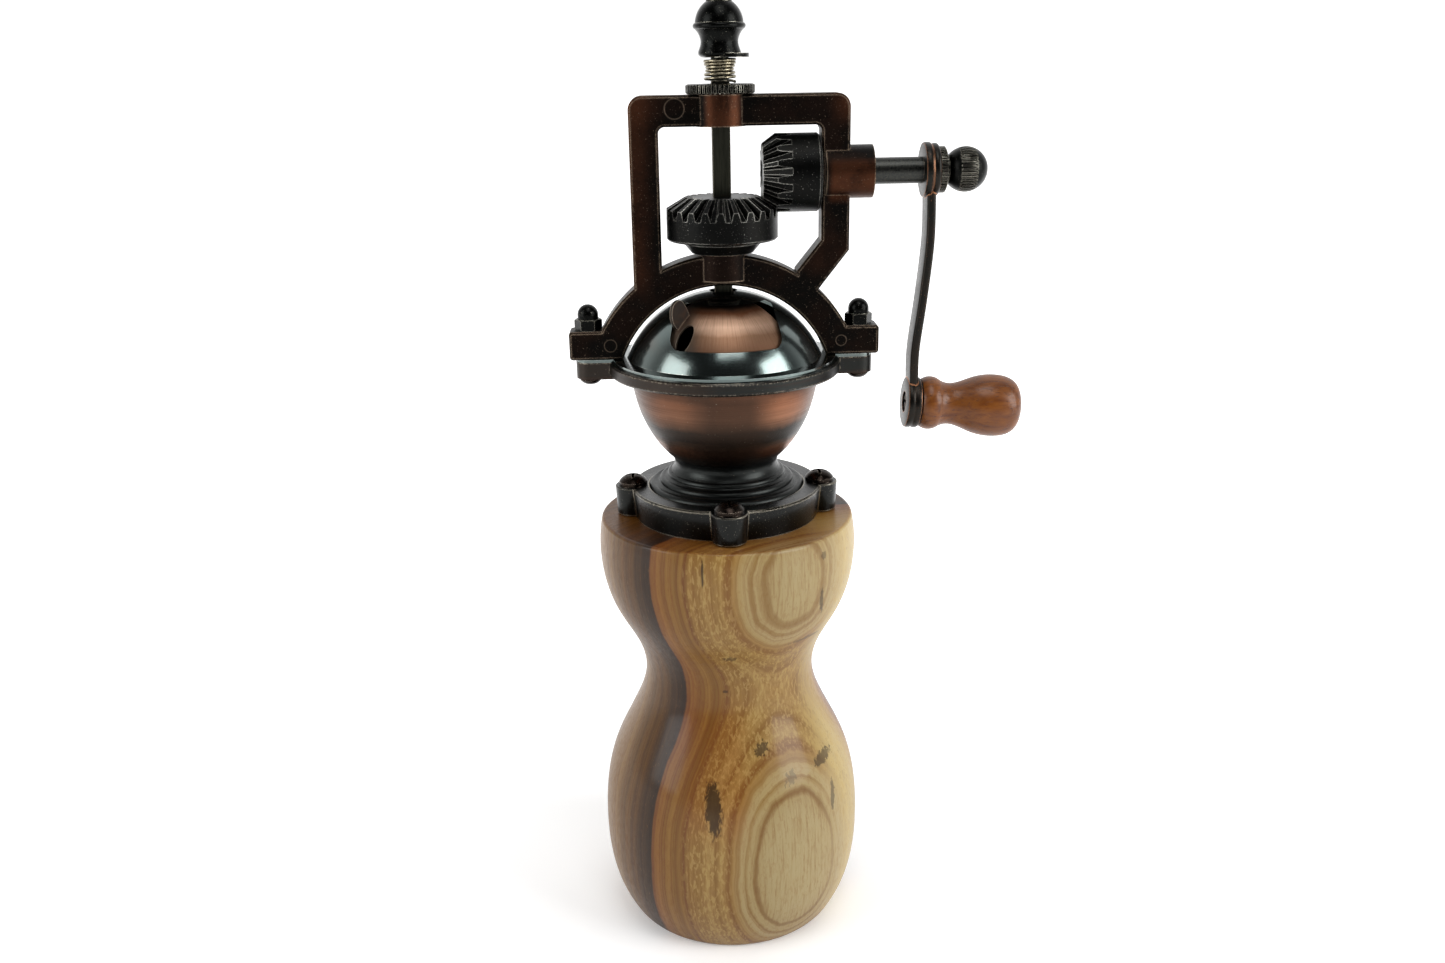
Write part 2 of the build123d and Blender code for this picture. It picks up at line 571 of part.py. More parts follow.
def make_rotor_burr():
    cone = turned_points([(0, BURR_BOTTOM), (9.6, BURR_BOTTOM), (9.6, BURR_BOTTOM + 0.6), (5.4, BURR_TOP),
                          (0, BURR_TOP)])
    grooves = 14
    blade = Pos(0, 0, BURR_BOTTOM) * Box(2.0, 0.9, 16, align=(Align.MIN, Align.CENTER, Align.MIN))
    blade = Pos(8.8, 0, 0) * Pos(0, 0, BURR_BOTTOM) * Rot(0, -19.3, 0) * Pos(0, 0, -BURR_BOTTOM - 1) * blade
    for step in range(grooves):
        cone -= Rot(0, 0, 360 * step / grooves) * blade
    return cone - square_bar(SPINDLE_SIDE + 2 * FIT_GAP, BURR_BOTTOM, BURR_TOP)


def make_rotor_nut():
    nut = Pos(0, 0, 9.2) * extrude(RegularPolygon(4.0, 6), amount=BURR_BOTTOM - 9.2)
    return nut - cylinder_z(THREAD_R + FIT_GAP, 8, BURR_BOTTOM)


def make_bridge_bar():
    bar = Pos(0, 0, 28.4) * Box(40, 5.0, 1.6, align=(Align.CENTER, Align.CENTER, Align.MIN))
    bar += cylinder_z(5.0, 28.4, 31.0)
    bar &= cylinder_z(STATOR_R, 28, 32)
    return bar - cylinder_z(SPINDLE_CORNER_R + RUNNING_GAP, 28, 32)


def make_rotor_spring():
    wire_r = 0.35
    mean_r = 3.9
    low = BURR_TOP + wire_r + 0.03
    high = 28.4 - wire_r - 0.03
    path = Helix((high - low) / 3.0, high - low, mean_r)
    section = Plane(origin=path @ 0, z_dir=path % 0) * Circle(wire_r)
    return Pos(0, 0, low) * sweep(section, path=path, is_frenet=True)


# ---- Write every piece ------------------------------------------------------------------------------
PIECES = {
    "wood_body": make_wood_body,
    "mounting_ring": make_mounting_ring,
    "ring_screws": make_ring_screws,
    "bowl": make_bowl,
    "dome_shell": make_dome_shell,
    "door": make_door,
    "frame": make_frame,
    "frame_bolts": make_frame_bolts,
    "acorn_nuts": make_acorn_nuts,
    "driven_gear": make_driven_gear,
    "drive_gear": make_drive_gear,
    "gear_set_screw": make_gear_set_screw,
    "crank_shaft": make_crank_shaft,
    "crank_arm": make_crank_arm,
    "lock_nut": make_lock_nut,
    "ball_nut": make_ball_nut,
    "handle_screw": make_handle_screw,
    "handle": make_handle,
    "spindle": make_spindle,
    "thrust_collar": make_thrust_collar,
    "knob_spring": make_knob_spring,
    "adjust_knob": make_adjust_knob,
    "burr_housing": make_burr_housing,
    "housing_screws": make_housing_screws,
    "stator_burr": make_stator_burr,
    "rotor_burr": make_rotor_burr,
    "rotor_nut": make_rotor_nut,
    "rotor_spring": make_rotor_spring,
    "bridge_bar": make_bridge_bar,
}

os.makedirs("parts", exist_ok=True)
for name, make in PIECES.items():
    shape = make()
    if isinstance(shape, list):
        shape = Compound(children=[solid for piece in shape for solid in piece.solids()])
    export_step(shape, f"parts/{name}.step")
    print(name, "made")
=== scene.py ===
import json
import math

import bpy
from mathutils import Matrix, Vector


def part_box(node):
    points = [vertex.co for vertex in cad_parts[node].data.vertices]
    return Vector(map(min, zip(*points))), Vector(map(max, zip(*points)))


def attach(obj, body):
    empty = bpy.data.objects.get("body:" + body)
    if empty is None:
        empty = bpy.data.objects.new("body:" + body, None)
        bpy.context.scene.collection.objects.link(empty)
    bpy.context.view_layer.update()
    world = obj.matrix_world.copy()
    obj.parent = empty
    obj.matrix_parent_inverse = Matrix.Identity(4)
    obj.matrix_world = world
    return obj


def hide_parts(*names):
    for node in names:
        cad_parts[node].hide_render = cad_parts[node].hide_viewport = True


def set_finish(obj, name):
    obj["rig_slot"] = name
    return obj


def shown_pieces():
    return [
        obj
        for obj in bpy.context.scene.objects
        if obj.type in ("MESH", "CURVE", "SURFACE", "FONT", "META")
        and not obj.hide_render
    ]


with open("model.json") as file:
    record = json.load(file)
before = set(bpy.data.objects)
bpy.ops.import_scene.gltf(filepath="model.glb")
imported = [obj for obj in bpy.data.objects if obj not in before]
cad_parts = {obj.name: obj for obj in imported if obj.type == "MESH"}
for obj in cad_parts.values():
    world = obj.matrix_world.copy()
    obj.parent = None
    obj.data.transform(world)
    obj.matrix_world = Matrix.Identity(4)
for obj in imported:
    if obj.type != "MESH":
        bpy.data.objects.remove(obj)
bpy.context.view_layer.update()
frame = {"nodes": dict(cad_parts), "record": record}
nodes = frame["nodes"]
MM = 0.001      # metres in a millimetre: sizes below are in millimetres in the part's own frame


# ---- Mesh helpers -----------------------------------------------------------------------------------
def add_piece(name, verts, faces, body, slot, sharp_deg):
    """A new piece that moves with a body. Faces meeting at more than sharp_deg degrees keep a sharp edge."""
    mesh = bpy.data.meshes.new(name)
    mesh.from_pydata([tuple(c * MM for c in v) for v in verts], [], faces)
    mesh.validate()
    mesh.update()
    mesh.shade_smooth()
    mesh.set_sharp_from_angle(angle=math.radians(sharp_deg))
    obj = bpy.data.objects.new(name, mesh)
    bpy.context.scene.collection.objects.link(obj)
    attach(obj, body)
    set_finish(obj, slot)
    return obj


def rings_mesh(rings, closed=True):
    """Faces between rings of equally many points. The first and last ring join up when closed."""
    verts = [point for ring in rings for point in ring]
    faces = []
    count, size = len(rings), len(rings[0])
    for i in range(count if closed else count - 1):
        a, b = i * size, ((i + 1) % count) * size
        for j in range(size):
            k = (j + 1) % size
            faces.append((a + j, a + k, b + k, b + j))
    return verts, faces


def merge(*parts):
    """Several (vertices, faces) as one."""
    verts, faces = [], []
    for part_verts, part_faces in parts:
        base = len(verts)
        verts += part_verts
        faces += [tuple(base + i for i in face) for face in part_faces]
    return verts, faces


def on_spindle(x, y, z):
    """A turned piece's own Z axis is the spindle axis already."""
    return (x, y, z)


def on_crank(x, y, z):
    """Lays a turned piece's own Z axis along the crank axis."""
    return (z, y, CRANK_Z - x)


TOOTH_POINTS, GROOVE_POINTS = 8, 3      # mesh points round one knurl tooth with its groove, and in the groove


def turned(outline, segments, place=on_spindle):
    """Turns a closed outline of (radius, height) or (radius, height, depth of the knurl's grooves there)."""
    rings = []
    for radius, height, *depth in outline:
        ring = []
        for j in range(segments):
            a = 2 * math.pi * j / segments
            r = radius - depth[0] if depth and j % TOOTH_POINTS < GROOVE_POINTS else radius
            ring.append(place(r * math.cos(a), r * math.sin(a), height))
        rings.append(ring)
    return rings_mesh(rings)


def spline(points, per):
    """Smooth curve through points (Catmull-Rom), with per steps between each two of them."""
    out = []
    ends = [points[0], *points, points[-1]]
    for four in zip(ends, ends[1:], ends[2:], ends[3:]):
        for step in range(per):
            t = step / per
            out.append(tuple(
                0.5 * (2 * b + (c - a) * t + (2 * a - 5 * b + 4 * c - d) * t * t
                       + (3 * b - a - 3 * c + d) * t ** 3)
                for a, b, c, d in zip(*four)))
    out.append(tuple(points[-1]))
    return out


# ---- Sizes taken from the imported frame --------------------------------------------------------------
def mm_box(node):
    low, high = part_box(node)
    return low / MM, high / MM


collar_low, collar_high = mm_box("thrust_collar")
nut_low, nut_high = mm_box("lock_nut")
ball_low, ball_high = mm_box("ball_nut")
spring_low, spring_high = mm_box("knob_spring")
CRANK_Z = (nut_low.z + nut_high.z) / 2


# ---- Knurled collar, lock nut and ball nut ----------------------------------------------------------
COLLAR_TEETH, NUT_TEETH, BALL_TEETH = 46, 38, 34
COLLAR_BORE, CRANK_BORE = 2.98, 2.42      # bore radii, round the spindle and round the crank shaft

collar_r = (collar_high.x - collar_low.x) / 2
z0, z1 = collar_low.z, collar_high.z
outline = [(COLLAR_BORE, z0), (collar_r - 0.55, z0), (collar_r - 0.3, z0 + 0.08), (collar_r - 0.02, z0 + 0.3, 0.5),
           (collar_r, z0 + 0.4, 0.55), (collar_r, z1 - 0.4, 0.55), (collar_r - 0.02, z1 - 0.3, 0.5),
           (collar_r - 0.3, z1 - 0.08), (collar_r - 0.55, z1), (COLLAR_BORE, z1)]
collar = add_piece("thrust_collar_knurled", *turned(outline, COLLAR_TEETH * TOOTH_POINTS), "gear_train",
                   "black_nuts", 30)
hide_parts("thrust_collar")

nut_r = (nut_high.z - nut_low.z) / 2
x0, x1 = nut_low.x, nut_high.x
outline = [(CRANK_BORE, x0), (nut_r - 0.35, x0), (nut_r - 0.02, x0 + 0.22, 0.36), (nut_r, x0 + 0.35, 0.4),
           (nut_r, x1 - 0.35, 0.4), (nut_r - 0.02, x1 - 0.22, 0.36), (nut_r - 0.35, x1), (CRANK_BORE, x1)]
lock = add_piece("lock_nut_knurled", *turned(outline, NUT_TEETH * TOOTH_POINTS, on_crank), "crank",
                 "black_nuts", 30)
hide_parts("lock_nut")

# The ball has a neck at its inner end, a flat at its outer end and a knurled belt between two heights
NECK_R, FLAT_R = 3.2, 1.8
BELT_LOW, BELT_HIGH, BELT_RUNOUT, BELT_DEPTH = -1.9, 2.1, 0.35, 0.32
BALL_STEPS, BALL_FROM_DEG, BALL_TO_DEG = 45, -53, 70.3
ball_r = (ball_high.z - ball_low.z) / 2
centre = ball_high.x - math.sqrt(ball_r ** 2 - FLAT_R ** 2)
outline = [(CRANK_BORE, ball_low.x), (NECK_R, ball_low.x), (NECK_R, centre - math.sqrt(ball_r ** 2 - NECK_R ** 2))]
for step in range(1, BALL_STEPS + 1):
    a = math.radians(BALL_FROM_DEG + step * (BALL_TO_DEG - BALL_FROM_DEG) / BALL_STEPS)
    along = ball_r * math.sin(a)
    cut = max(0.0, min(1.0, (along - BELT_LOW) / BELT_RUNOUT, (BELT_HIGH - along) / BELT_RUNOUT))
    outline.append((ball_r * math.cos(a), centre + along, BELT_DEPTH * cut))
outline += [(1.4, ball_high.x), (0.02, ball_high.x), (0.02, centre + 1.0), (CRANK_BORE, centre + 1.0)]
ball = add_piece("ball_nut_knurled", *turned(outline, BALL_TEETH * TOOTH_POINTS, on_crank), "crank",
                 "black_nuts", 32)
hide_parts("ball_nut")


# ---- Knob spring: close top turns, a pinched middle and open bottom turns ---------------------------
WIRE_R, WIRE_GAP = 0.33, 0.02
SPRING_TURNS, SPRING_SAMPLES = 6.2, 420


def coil(turns, samples, radius_at, height_at, wire, sides=10):
    """Round wire wound up the spindle axis; radius_at and height_at take 0 at the bottom and 1 at the top."""
    rings = []
    centres = []
    for i in range(samples + 1):
        t = i / samples
        a = 2 * math.pi * turns * t
        r = radius_at(t)
        centres.append(Vector((r * math.cos(a), r * math.sin(a), height_at(t))))
    for i, c in enumerate(centres):
        ahead = centres[min(i + 1, samples)] - centres[max(i - 1, 0)]
        ahead.normalize()
        out = Vector((c.x, c.y, 0)).normalized()
        out = (out - ahead * out.dot(ahead)).normalized()
        up = ahead.cross(out)
        ring = []
        for k in range(sides):
            b = 2 * math.pi * k / sides
            ring.append(tuple(c + out * (wire * math.cos(b)) + up * (wire * math.sin(b))))
        rings.append(ring)
    verts, faces = rings_mesh(rings, closed=False)
    faces.append(tuple(reversed(range(sides))))
    last = samples * sides
    faces.append(tuple(range(last, last + sides)))
    return verts, faces


coil_top = spring_high.z - WIRE_R - WIRE_GAP
coil_bottom = spring_low.z + WIRE_R + WIRE_GAP
coil_outer = (spring_high.x - spring_low.x) / 2 - WIRE_R - 0.03


def coil_radius(t):
    pinch = math.exp(-((t - 0.5) / 0.18) ** 2)
    return coil_outer - 0.05 * (1 - t) - 0.5 * pinch


def coil_height(t):
    return coil_bottom + (coil_top - coil_bottom) * (t ** 0.8)


spring = add_piece("knob_spring_wound", *coil(SPRING_TURNS, SPRING_SAMPLES, coil_radius, coil_height, WIRE_R),
                   "gear_train", "spring_wire", 60)
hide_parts("knob_spring")


# ---- Crank arm: flowing strip with rounded edges between two turned eyes ----------------------------
ARM_LINE = [(50.0, 192.6), (50.05, 180.5), (48.75, 166.5), (47.2, 153.5), (47.12, 144.5)]     # x, z
GRIP_X, GRIP_Z = 47.1, 139.75
GRIP_DROOP = math.radians(4.0)
EYE_SEGMENTS = 144


def strip_rings():
    """Rounded rectangles across the arm's centre line."""
    path = spline(ARM_LINE, 14)
    half_t, half_w, corner = 1.09, 3.68, 0.75
    rings = []
    for i, (x, z) in enumerate(path):
        a = path[max(i - 1, 0)]
        b = path[min(i + 1, len(path) - 1)]
        d = Vector((b[0] - a[0], 0, b[1] - a[1])).normalized()
        side = Vector((-d.z, 0, d.x))
        ring = []
        for qx, qy, start_deg in ((1, 1, 0), (-1, 1, 90), (-1, -1, 180), (1, -1, 270)):
            for k in range(5):
                t = math.radians(start_deg + 22.5 * k)
                u = qx * (half_t - corner) + corner * math.cos(t)
                v = qy * (half_w - corner) + corner * math.sin(t)
                ring.append(tuple(Vector((x, v, z)) + side * u))
        rings.append(ring)
    return rings


def on_grip(x, y, z):
    """Lays a turned piece's own Z axis along the drooping grip axis."""
    v = Matrix.Rotation(math.pi / 2 + GRIP_DROOP, 3, "Y") @ Vector((x, y, z))
    return (GRIP_X + v.x, v.y, GRIP_Z + v.z)


rings = strip_rings()
strip = rings_mesh(rings, closed=False)
count = len(rings[0])
strip[1].append(tuple(range(count)))
strip[1].append(tuple(reversed(range((len(rings) - 1) * count, len(rings) * count))))

a0, a1 = 48.07, 51.75      # the upper eye's two ends along x
upper = turned([(CRANK_BORE, a0), (5.9, a0), (6.3, a0 + 0.12), (6.5, a0 + 0.45), (6.5, a0 + 1.5), (6.42, a0 + 1.7),
                (6.1, a0 + 1.86), (6.02, a0 + 2.05), (6.1, a0 + 2.25), (6.22, a0 + 2.45), (6.25, a0 + 3.1),
                (6.1, a1 - 0.25), (5.8, a1), (CRANK_BORE, a1)], EYE_SEGMENTS, on_crank)
lower = turned([(1.62, 0.02), (2.62, 0.02), (2.62, -1.8), (5.7, -1.8), (6.2, -1.62), (6.4, -1.2), (6.4, -0.35),
                (6.25, -0.1), (6.25, 0.15), (6.4, 0.4), (6.4, 1.2), (6.2, 1.62), (5.7, 1.8), (1.62, 1.8)],
               EYE_SEGMENTS, on_grip)
arm = add_piece("crank_arm_forged", *merge(strip, upper, lower), "crank", "crank_black", 38)
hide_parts("crank_arm")


# ---- CAD pieces shown as they are, with smooth shading across each face -----------------------------
CAD_SHARP_DEG = 28
for obj in nodes.values():
    if not obj.hide_render:
        obj.data.shade_smooth()
        obj.data.set_sharp_from_angle(angle=math.radians(CAD_SHARP_DEG))


# ---- Materials --------------------------------------------------------------------------------------
def srgb(r, g, b):
    """A display colour from 0 to 255 as the linear colour that shader sockets take."""
    def lin(c):
        c /= 255
        return c / 12.92 if c <= 0.04045 else ((c + 0.055) / 1.055) ** 2.4
    return (lin(r), lin(g), lin(b), 1.0)


class Shader:
    """A small material builder. Coordinates x, y and z are millimetres in the part's own frame."""

    def __init__(self, name):
        self.material = bpy.data.materials.new(name)
        self.material.use_nodes = True
        self.tree = self.material.node_tree
        self.tree.nodes.clear()
        output = self.tree.nodes.new("ShaderNodeOutputMaterial")
        self.bsdf = self.tree.nodes.new("ShaderNodeBsdfPrincipled")
        self.tree.links.new(self.bsdf.outputs[0], output.inputs[0])
        coords = self.tree.nodes.new("ShaderNodeTexCoord").outputs["Object"]
        scale = self.tree.nodes.new("ShaderNodeVectorMath")
        scale.operation = "SCALE"
        scale.inputs["Scale"].default_value = 1000.0
        self.tree.links.new(coords, scale.inputs[0])
        self.mm = scale.outputs[0]
        split = self.tree.nodes.new("ShaderNodeSeparateXYZ")
        self.tree.links.new(self.mm, split.inputs[0])
        self.x, self.y, self.z = split.outputs

    def put(self, socket, value):
        if isinstance(value, bpy.types.NodeSocket):
            self.tree.links.new(value, socket)
        else:
            socket.default_value = value

    def math(self, operation, a, b=0.0, c=0.0, clamp=False):
        node = self.tree.nodes.new("ShaderNodeMath")
        node.operation = operation
        node.use_clamp = clamp
        for socket, value in zip(node.inputs, (a, b, c)):
            self.put(socket, value)
        return node.outputs[0]

    def add(self, a, b):
        return self.math("ADD", a, b)

    def sub(self, a, b):
        return self.math("SUBTRACT", a, b)

    def mul(self, a, b):
        return self.math("MULTIPLY", a, b)

    def step(self, value, low, high, to_low=0.0, to_high=1.0):
        """Smoothly from to_low where value is low to to_high where it is high. Low may be above high."""
        node = self.tree.nodes.new("ShaderNodeMapRange")
        node.interpolation_type = "SMOOTHSTEP"
        self.put(node.inputs["Value"], value)
        for key, end in (("From Min", low), ("From Max", high), ("To Min", to_low), ("To Max", to_high)):
            self.put(node.inputs[key], end)
        return node.outputs["Result"]

    def band(self, value, centre, half, soft):
        """1 within half of centre, falling to 0 over soft."""
        away = self.math("ABSOLUTE", self.sub(value, centre))
        return self.step(away, half, half + soft, 1.0, 0.0)

    def length(self, *parts):
        """Distance with these parts along each axis."""
        total = self.mul(parts[0], parts[0])
        for part in parts[1:]:
            total = self.add(total, self.mul(part, part))
        return self.math("POWER", total, 0.5)

    def vector(self, x, y, z):
        node = self.tree.nodes.new("ShaderNodeCombineXYZ")
        for socket, value in zip(node.inputs, (x, y, z)):
            self.put(socket, value)
        return node.outputs[0]

    def stretch(self, sx, sy, sz):
        return self.vector(self.mul(self.x, sx), self.mul(self.y, sy), self.mul(self.z, sz))

    def noise(self, scale, detail=4.0, rough=0.55, where=None, distortion=0.0):
        node = self.tree.nodes.new("ShaderNodeTexNoise")
        self.put(node.inputs["Vector"], self.mm if where is None else where)
        for key, amount in (("Scale", scale), ("Detail", detail), ("Roughness", rough), ("Distortion", distortion)):
            self.put(node.inputs[key], amount)
        return node.outputs["Fac"]

    def ramp(self, value, stops):
        """Colours at stated values of a socket, straight between them."""
        low, high = stops[0][0], stops[-1][0]
        node = self.tree.nodes.new("ShaderNodeValToRGB")
        self.put(node.inputs[0], self.math("DIVIDE", self.sub(value, low), high - low, clamp=True))
        elements = node.color_ramp.elements
        for element in list(elements)[1:]:
            elements.remove(element)
        for index, (at, colour) in enumerate(stops):
            place = (at - low) / (high - low)
            element = elements[0] if index == 0 else elements.new(place)
            element.position = place
            element.color = colour
        return node.outputs[0]

    def mix(self, factor, a, b, blend="MIX"):
        node = self.tree.nodes.new("ShaderNodeMix")
        node.data_type = "RGBA"
        node.blend_type = blend
        for index, value in ((0, factor), (6, a), (7, b)):      # the colour sockets of a Mix node
            self.put(node.inputs[index], value)
        return node.outputs[2]

    def tinted(self, colour, by):
        """Colour multiplied by another, which darkens it."""
        return self.mix(1.0, colour, by, "MULTIPLY")

    def edges(self, radius):
        """0 on flat and gently curved faces, rising towards 1 on edges tighter than radius (mm)."""
        rounded = self.tree.nodes.new("ShaderNodeBevel")
        rounded.samples = 4
        rounded.inputs["Radius"].default_value = radius * MM
        plain = self.tree.nodes.new("ShaderNodeNewGeometry")
        dot = self.tree.nodes.new("ShaderNodeVectorMath")
        dot.operation = "DOT_PRODUCT"
        self.tree.links.new(rounded.outputs[0], dot.inputs[0])
        self.tree.links.new(plain.outputs["Normal"], dot.inputs[1])
        return self.step(dot.outputs["Value"], 0.995, 0.86)

    def bump(self, height, distance):
        node = self.tree.nodes.new("ShaderNodeBump")
        node.inputs["Distance"].default_value = distance * MM
        node.inputs["Strength"].default_value = 1.0
        self.put(node.inputs["Height"], height)
        return node.outputs[0]

    def set(self, **values):
        """Shader inputs by name, with _ for a space: a node's output is linked, a number or colour is set."""
        for key, value in values.items():
            self.put(self.bsdf.inputs[key.replace("_", " ")], value)


PALE = srgb(178, 168, 150)      # bare metal on worn edges
BLACK = srgb(44, 46, 45)        # patina left on the copper parts
FRAME_FRONT_Y = -3.6            # the frame's front face
# Round marks left by the mould's ejector pins on that face: x, z, radius
EJECTOR_MARKS = [(-27.9, 156.8, 1.5), (-10.9, 212.2, 2.3), (28.6, 156.8, 1.3)]


def casting(name, dark, tint, edge, rough, wear, edge_r, grain, tint_mask=None, coat=0.0, coat_rough=0.15,
            marks=(), depth=0.3):
    """Blackened metal: dark patina, a warm tint where it is rubbed thin, bright chipped edges, fine pits.

    Rough is its least and most roughness, wear the share of each edge that is chipped, edge_r the width of
    the chips and grain the height of the pits, both in mm, and depth how much light the patina gives back.
    """
    s = Shader(name)
    cloud = s.noise(0.09, 4.0, 0.6)
    fine = s.noise(1.6, 3.0, 0.6)
    colour = s.mix(s.step(cloud, 0.42, 0.66), dark, s.mix(0.1, dark, tint))
    if tint_mask is not None:
        mask = tint_mask(s)
        broken = s.mul(mask, s.step(s.add(cloud, s.mul(fine, 0.25)), 0.42, 0.66, 0.45, 1.0))
        colour = s.mix(broken, colour, tint)
    colour = s.tinted(colour, (depth, depth, depth, 1))
    specks = s.step(s.noise(3.2, 2.0, 0.5), 0.67, 0.75)
    colour = s.mix(s.mul(specks, 0.35), colour, edge)
    chips = s.step(s.add(s.mul(fine, 0.6), s.mul(cloud, 0.5)), 1 - wear - 0.08, 1 - wear + 0.12)
    colour = s.mix(s.mul(s.mul(s.edges(edge_r), chips), 0.9), colour, edge)
    height = s.noise(2.6, 3.0, 0.65)
    for x, z, radius in marks:
        away = s.length(s.sub(s.x, x), s.sub(s.z, z))
        ring = s.mul(s.band(away, radius, 0.06, 0.16), s.step(s.y, FRAME_FRONT_Y + 0.3, FRAME_FRONT_Y + 0.1))
        colour = s.mix(s.mul(ring, 0.16), colour, edge)
        height = s.add(height, ring)
    s.set(Base_Color=colour, Metallic=1.0, Normal=s.bump(height, grain), Coat_Weight=coat,
          Coat_Roughness=coat_rough,
          Roughness=s.step(s.add(s.mul(cloud, 0.6), s.mul(fine, 0.4)), 0.3, 0.7, *rough))
    return s.material


def frame_tint(s):
    """Copper shows on the left bar, the top corners, the side boss and the top boss."""
    left = s.mul(s.step(s.x, -15.5, -20.5), s.step(s.z, 166.0, 176.0))
    corner = s.mul(s.step(s.x, 24.0, 30.0), s.step(s.z, 206.0, 213.0))
    corner_left = s.mul(s.step(s.x, -12.0, -19.0), s.step(s.z, 205.0, 213.0))
    side_boss = s.mul(s.step(s.x, 24.6, 26.5), s.band(s.z, 195.0, 3.4, 2.4))
    top_boss = s.mul(s.band(s.x, 0.6, 3.0, 2.0), s.mul(s.step(s.z, 207.5, 208.5), s.step(s.y, -3.4, -3.8)))
    chamfer_bar = s.mul(s.step(s.x, 17.0, 24.0), s.band(s.z, 178.0, 3.0, 5.0))
    total = s.mul(left, 0.5)
    for mask, share in ((corner, 0.75), (corner_left, 0.4), (chamfer_bar, 0.15), (side_boss, 0.95), (top_boss, 0.9)):
        total = s.add(total, s.mul(mask, share))
    return s.math("MINIMUM", total, 1.0)


def dome_tint(s):
    """A copper patch high on the dome's left flank."""
    return s.mul(s.mul(s.step(s.x, -15.0, -19.0), s.band(s.z, 163.0, 3.0, 4.0)), 0.7)


def around(s, radius):
    """Distance round the spindle axis in mm at a radius, for brushing on a turned piece."""
    return s.mul(s.math("ARCTAN2", s.y, s.x), radius)


BOWL_R = 22.0


def bowl_material():
    """Copper bands between black ones, with brushing that runs round. Painted shade darkens both sides, the middle
    below the rim and the left, so the right is lighter.
    """
    s = Shader("brushed_copper_bowl")
    cloud = s.noise(0.12, 4.0, 0.6)
    fine = s.noise(1.8, 3.0, 0.6)
    wobble = s.add(s.z, s.mul(s.sub(cloud, 0.5), 3.0))
    colour = s.ramp(wobble, [
        (119.0, BLACK), (128.0, BLACK), (129.6, srgb(74, 48, 36)), (131.2, srgb(140, 86, 56)),
        (133.0, srgb(144, 98, 72)), (134.4, srgb(88, 70, 56)), (135.6, srgb(42, 40, 38)),
        (138.2, srgb(46, 43, 40)), (139.6, srgb(104, 76, 60)), (142.0, srgb(146, 102, 78)),
        (145.5, srgb(138, 92, 68)), (148.2, srgb(80, 56, 44)), (149.4, BLACK), (153.5, BLACK)])
    # Painted shade: the copper goes black towards both sides, where the bowl turns away.
    side = s.step(s.math("ABSOLUTE", s.x), 15.0, 22.0)
    colour = s.mix(s.mul(side, 0.6), colour, BLACK)
    cup = s.step(s.z, 127.5, 129.5)      # above the neck
    # Painted shade and dark reflection down the middle of the cup, below the rim.
    painted_centre_shade = s.mul(s.band(s.x, 0.5, 4.0, 9.0), s.mul(s.step(s.z, 150.0, 146.0), cup))
    colour = s.mix(s.mul(painted_centre_shade, 0.85), colour, srgb(52, 42, 36))
    # Painted shade on the left of the cup.
    left = s.mul(s.step(s.x, -1.0, -8.0), cup)
    colour = s.mix(s.mul(left, 0.45), colour, srgb(58, 48, 42))
    streak = s.noise(1.0, 3.0, 0.7, s.vector(s.mul(around(s, BOWL_R), 0.03), 0.0, s.mul(s.z, 2.6)))
    colour = s.mix(s.mul(cup, s.step(streak, 0.4, 0.75, 0.0, 0.35)), colour, srgb(62, 44, 34))
    specks = s.step(s.noise(2.6, 2.0, 0.5), 0.7, 0.78)
    colour = s.mix(s.mul(specks, 0.3), colour, PALE)
    rim = s.step(s.z, 148.9, 149.4)
    worn = s.mul(s.mul(s.edges(0.55), rim), s.step(fine, 0.44, 0.6))
    colour = s.mix(s.mul(worn, 0.85), colour, PALE)
    s.set(Base_Color=colour, Metallic=1.0,
          Roughness=s.step(s.add(s.mul(streak, 0.6), s.mul(fine, 0.4)), 0.35, 0.7, 0.3, 0.46),
          Normal=s.bump(s.add(streak, s.mul(fine, 0.5)), 0.03))
    return s.material


DOME_CENTRE_Z = 143.5
TAB_FROM_R, TAB_FULL_R = 25.25, 25.6      # from the dome's centre: beyond the door's shell there is only its tab


def door_material():
    """Copper with a painted highlight in a bright line near the top, painted shade below it, on the left side and
    along the top edge, and a darkened tab.
    """
    s = Shader("copper_door")
    cloud = s.noise(0.15, 4.0, 0.6)
    lines = s.noise(1.0, 3.0, 0.75, s.vector(around(s, 60.0), 0.0, s.mul(s.z, 0.12)))
    # Painted light: darker towards the bottom, a painted highlight band from 163 to 164.4 mm, and painted shade over
    # the top edge.
    colour = s.ramp(s.add(s.z, s.mul(s.sub(cloud, 0.5), 1.5)), [
        (152.0, srgb(84, 60, 46)), (158.5, srgb(108, 80, 62)), (161.0, srgb(136, 104, 82)),
        (163.0, srgb(214, 178, 152)), (164.4, srgb(210, 170, 142)), (165.6, srgb(128, 84, 58)),
        (166.6, srgb(52, 40, 34)), (169.5, BLACK)])
    # Painted shade on the left side of the door.
    left = s.step(s.add(s.x, s.mul(s.sub(cloud, 0.5), 3.0)), -5.5, -9.5)
    colour = s.mix(s.mul(left, 0.85), colour, srgb(66, 62, 56))
    tab = s.step(s.length(s.x, s.y, s.sub(s.z, DOME_CENTRE_Z)), TAB_FROM_R, TAB_FULL_R)
    outside = s.mul(s.step(s.z, 163.4, 164.6), s.step(s.x, -8.0, -9.5))
    colour = s.mix(s.mul(outside, 0.9), colour, srgb(54, 44, 38))
    colour = s.mix(s.mul(tab, 0.95), colour, srgb(44, 42, 40))
    colour = s.mix(s.mul(s.edges(0.35), 0.6), colour, PALE)
    colour = s.mix(s.step(lines, 0.42, 0.72, 0.0, 0.35), colour, srgb(96, 68, 50))
    s.set(Base_Color=colour, Metallic=1.0, Roughness=s.step(lines, 0.35, 0.7, 0.44, 0.56),
          Normal=s.bump(lines, 0.02))
    return s.material


